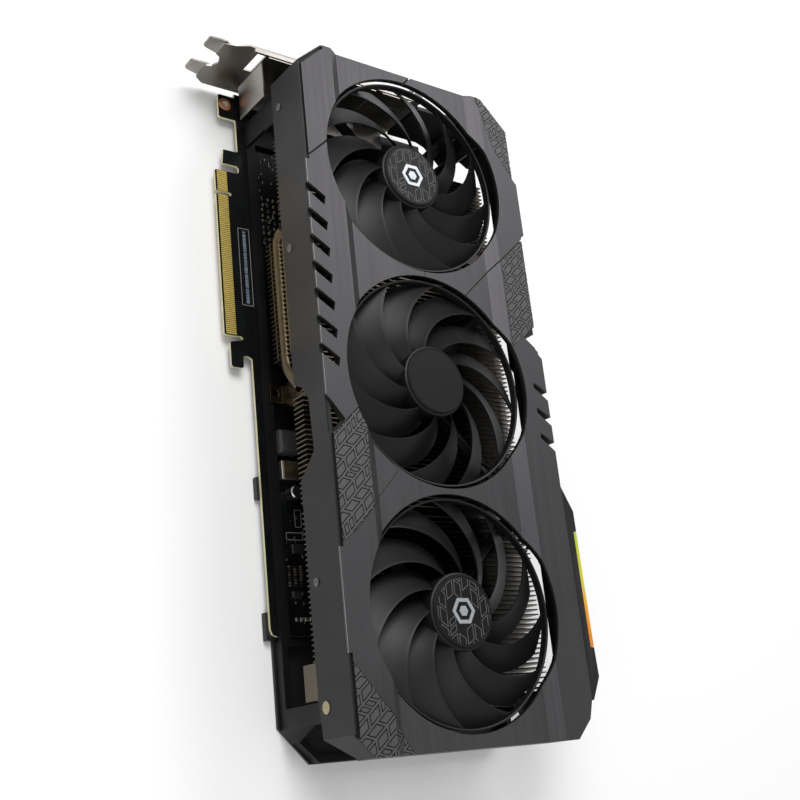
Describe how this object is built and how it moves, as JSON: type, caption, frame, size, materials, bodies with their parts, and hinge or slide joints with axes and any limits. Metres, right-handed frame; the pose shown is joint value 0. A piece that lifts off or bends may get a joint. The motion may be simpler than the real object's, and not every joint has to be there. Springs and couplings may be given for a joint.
{
  "type": "graphics card",
  "caption": "Graphics card with a bent-sheet bracket, open-sided finned cooler, angular brushed cover and axial fans whose blade tips share a ring.",
  "frame": {"origin": "middle of the box, on the plane of the backplate's outer face", "axes": "+X from the bracket to the tail, +Y from the edge connector to the light bar, +Z out of the fans"},
  "size_m": [0.333, 0.166, 0.0592],
  "materials": {
    "pcb": "black solder mask",
    "gold": "gold-plated",
    "substrate": "green laminate",
    "silicon": "polished",
    "chip": "moulded",
    "pad": "soft, matt",
    "choke": "sintered",
    "can": "satin",
    "smd": "satin",
    "shell": "plated",
    "bracket": "satin",
    "screw": "dark plated",
    "socket": "moulded",
    "header": "moulded",
    "copper_plated": "nickel-plated copper",
    "fins": "nickel-plated",
    "frame_metal": "black, matt",
    "backplate": "black, brushed",
    "spring_steel": "satin",
    "shroud": "fine grain",
    "cover": "anodised grey, brushed",
    "insert": "grey, etched pattern",
    "bar": "satin",
    "diffuser": "translucent, lit",
    "switch": "moulded",
    "lead": "sleeved",
    "fan_base": "moulded",
    "bearing": "sintered",
    "stator": "wound",
    "rotor": "satin black",
    "shaft": "ground",
    "cap": "satin, raised lines"
  },
  "bodies": {
    "card": {"circuit_board": "pcb", "edge_contacts": "gold", "gpu_package": "substrate", "gpu_die": "silicon", "memory_chips": "chip", "thermal_pads": "pad", "power_stages": "chip", "power_inductors": "choke", "capacitors": "can", "small_components": "smd", "displayport_sockets": "shell", "hdmi_socket": "shell", "io_bracket": "bracket", "bracket_screws": "screw", "power_socket": "socket", "fan_header": "header", "cold_plate": "copper_plated", "heat_pipes": "copper_plated", "fin_stack_front": "fins", "fin_stack_middle": "fins", "fin_stack_rear": "fins", "cooler_tabs": "copper_plated", "mid_frame": "frame_metal", "backplate": "backplate", "backplate_screws": "screw", "retention_bracket": "spring_steel", "retention_screws": "screw", "shroud_frame": "shroud", "cover_corner": "cover", "cover_upper": "cover", "cover_main": "cover", "insert_corner": "insert", "insert_upper": "insert", "insert_side": "insert", "insert_tail": "insert", "light_bar_housing": "bar", "light_diffuser": "diffuser", "wall_screws": "screw", "bios_switch_body": "socket", "fan_screws": "screw", "fan_leads": "lead", "fan_base_front": "fan_base", "fan_bearing_front": "bearing", "fan_stator_front": "stator", "fan_base_middle": "fan_base", "fan_bearing_middle": "bearing", "fan_stator_middle": "stator", "fan_base_rear": "fan_base", "fan_bearing_rear": "bearing", "fan_stator_rear": "stator"},
    "fan_front": {"fan_rotor_front": "rotor", "fan_shaft_front": "shaft", "hub_cap_front": "cap"},
    "fan_middle": {"fan_rotor_middle": "rotor", "fan_shaft_middle": "shaft", "hub_cap_middle": "cap"},
    "fan_rear": {"fan_rotor_rear": "rotor", "fan_shaft_rear": "shaft", "hub_cap_rear": "cap"},
    "bios_slider": {"bios_switch_slider": "switch"}
  },
  "joints": [
    {"name": "fan_front_spin", "type": "hinge", "parent": "card", "child": "fan_front", "pos_m": [-0.09795, 0.01175, 0.047], "axis": [0, 0, 1], "continuous": true},
    {"name": "fan_middle_spin", "type": "hinge", "parent": "card", "child": "fan_middle", "pos_m": [0.0061, 0.01175, 0.047], "axis": [0, 0, 1], "continuous": true},
    {"name": "fan_rear_spin", "type": "hinge", "parent": "card", "child": "fan_rear", "pos_m": [0.11015, 0.01175, 0.047], "axis": [0, 0, 1], "continuous": true},
    {"name": "bios_switch", "type": "slide", "parent": "card", "child": "bios_slider", "axis": [1, 0, 0], "range_m": [0, 0.0022]}
  ]
}
